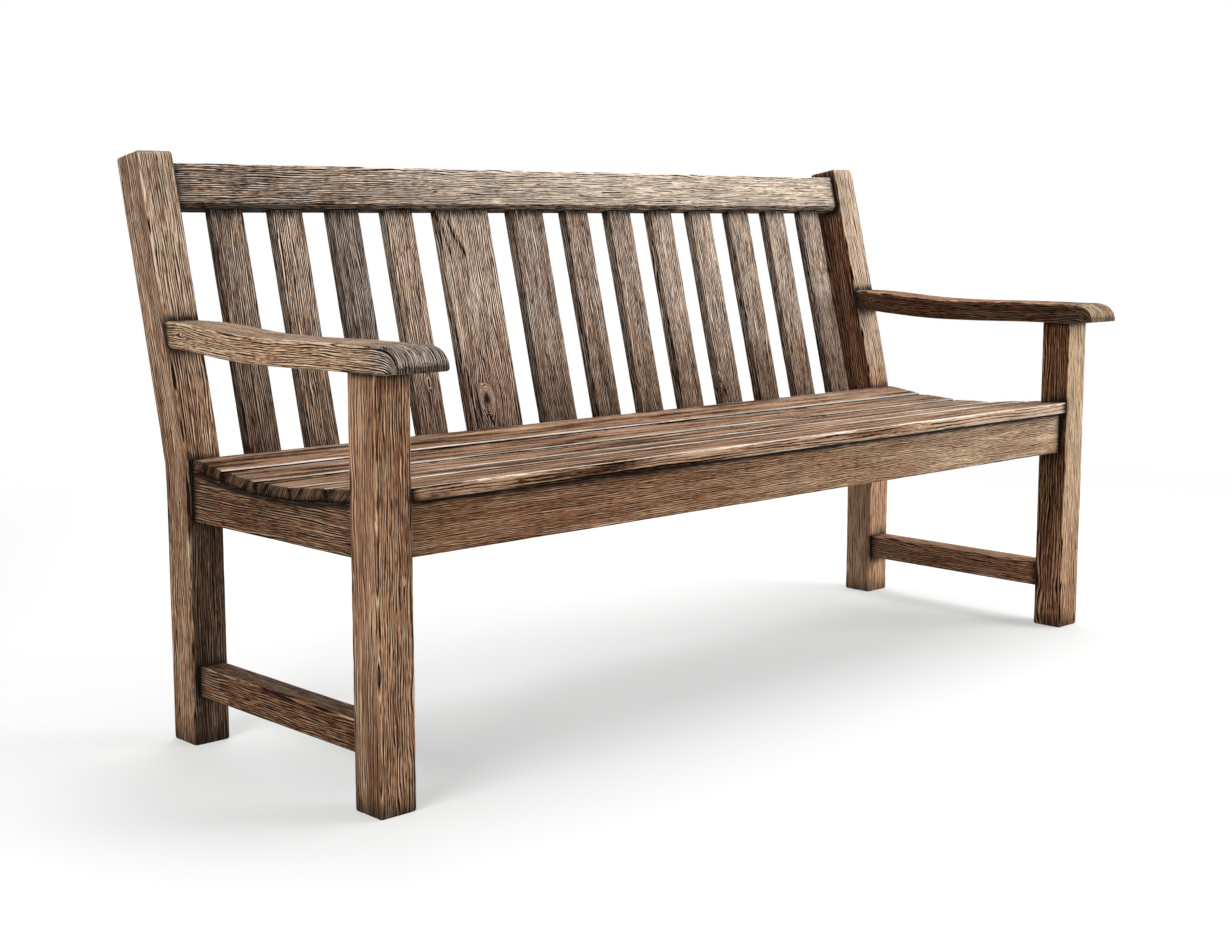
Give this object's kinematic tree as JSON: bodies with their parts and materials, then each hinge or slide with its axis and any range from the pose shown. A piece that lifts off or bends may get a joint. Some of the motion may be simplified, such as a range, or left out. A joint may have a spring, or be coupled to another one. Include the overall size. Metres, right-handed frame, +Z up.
{
  "type": "garden bench",
  "caption": "Long slatted garden bench with a raked back, dished seat, flat armrests and square legs, in weathered brown timber.",
  "frame": {"origin": "floor level under the centre of the bench's overall box", "axes": "+X along the bench to the right as seen from the front, +Y from the front to the back, +Z up"},
  "size_m": [1.716, 0.7098, 0.9011],
  "materials": {
    "frame_oak": "weathered, open grain, matt",
    "back_oak": "weathered, greyer, open grain, matt",
    "seat_oak": "weathered, worn by use, satin to matt",
    "oak_pegs": "end grain, matt",
    "steel_screws": "plain steel"
  },
  "bodies": {
    "root": {"armrest_left": "frame_oak", "armrest_right": "frame_oak", "back_slat_01": "back_oak", "back_slat_02": "back_oak", "back_slat_03": "back_oak", "back_slat_04": "back_oak", "back_slat_05": "back_oak", "back_slat_06": "back_oak", "back_slat_07": "back_oak", "back_slat_08": "back_oak", "back_slat_09": "back_oak", "back_slat_10": "back_oak", "back_slat_11": "back_oak", "back_slat_12": "back_oak", "back_slat_13": "back_oak", "centre_seat_bearer": "frame_oak", "front_leg_left": "frame_oak", "front_leg_right": "frame_oak", "front_seat_rail": "frame_oak", "rear_post_left": "frame_oak", "rear_post_right": "frame_oak", "rear_seat_rail": "frame_oak", "seat_rail_peg_lower_left": "oak_pegs", "seat_rail_peg_lower_right": "oak_pegs", "seat_rail_peg_upper_left": "oak_pegs", "seat_rail_peg_upper_right": "oak_pegs", "seat_screw_1_centre": "steel_screws", "seat_screw_1_left": "steel_screws", "seat_screw_1_right": "steel_screws", "seat_screw_2_centre": "steel_screws", "seat_screw_2_left": "steel_screws", "seat_screw_2_right": "steel_screws", "seat_screw_3_centre": "steel_screws", "seat_screw_3_left": "steel_screws", "seat_screw_3_right": "steel_screws", "seat_screw_4_centre": "steel_screws", "seat_screw_4_left": "steel_screws", "seat_screw_4_right": "steel_screws", "seat_screw_5_centre": "steel_screws", "seat_screw_5_left": "steel_screws", "seat_screw_5_right": "steel_screws", "seat_slat_1": "seat_oak", "seat_slat_2": "seat_oak", "seat_slat_3": "seat_oak", "seat_slat_4": "seat_oak", "seat_slat_5": "seat_oak", "side_seat_rail_left": "frame_oak", "side_seat_rail_right": "frame_oak", "stretcher_left": "frame_oak", "stretcher_right": "frame_oak", "top_back_rail": "back_oak", "top_rail_peg_lower_left": "oak_pegs", "top_rail_peg_lower_right": "oak_pegs", "top_rail_peg_upper_left": "oak_pegs", "top_rail_peg_upper_right": "oak_pegs"}
  },
  "joints": []
}
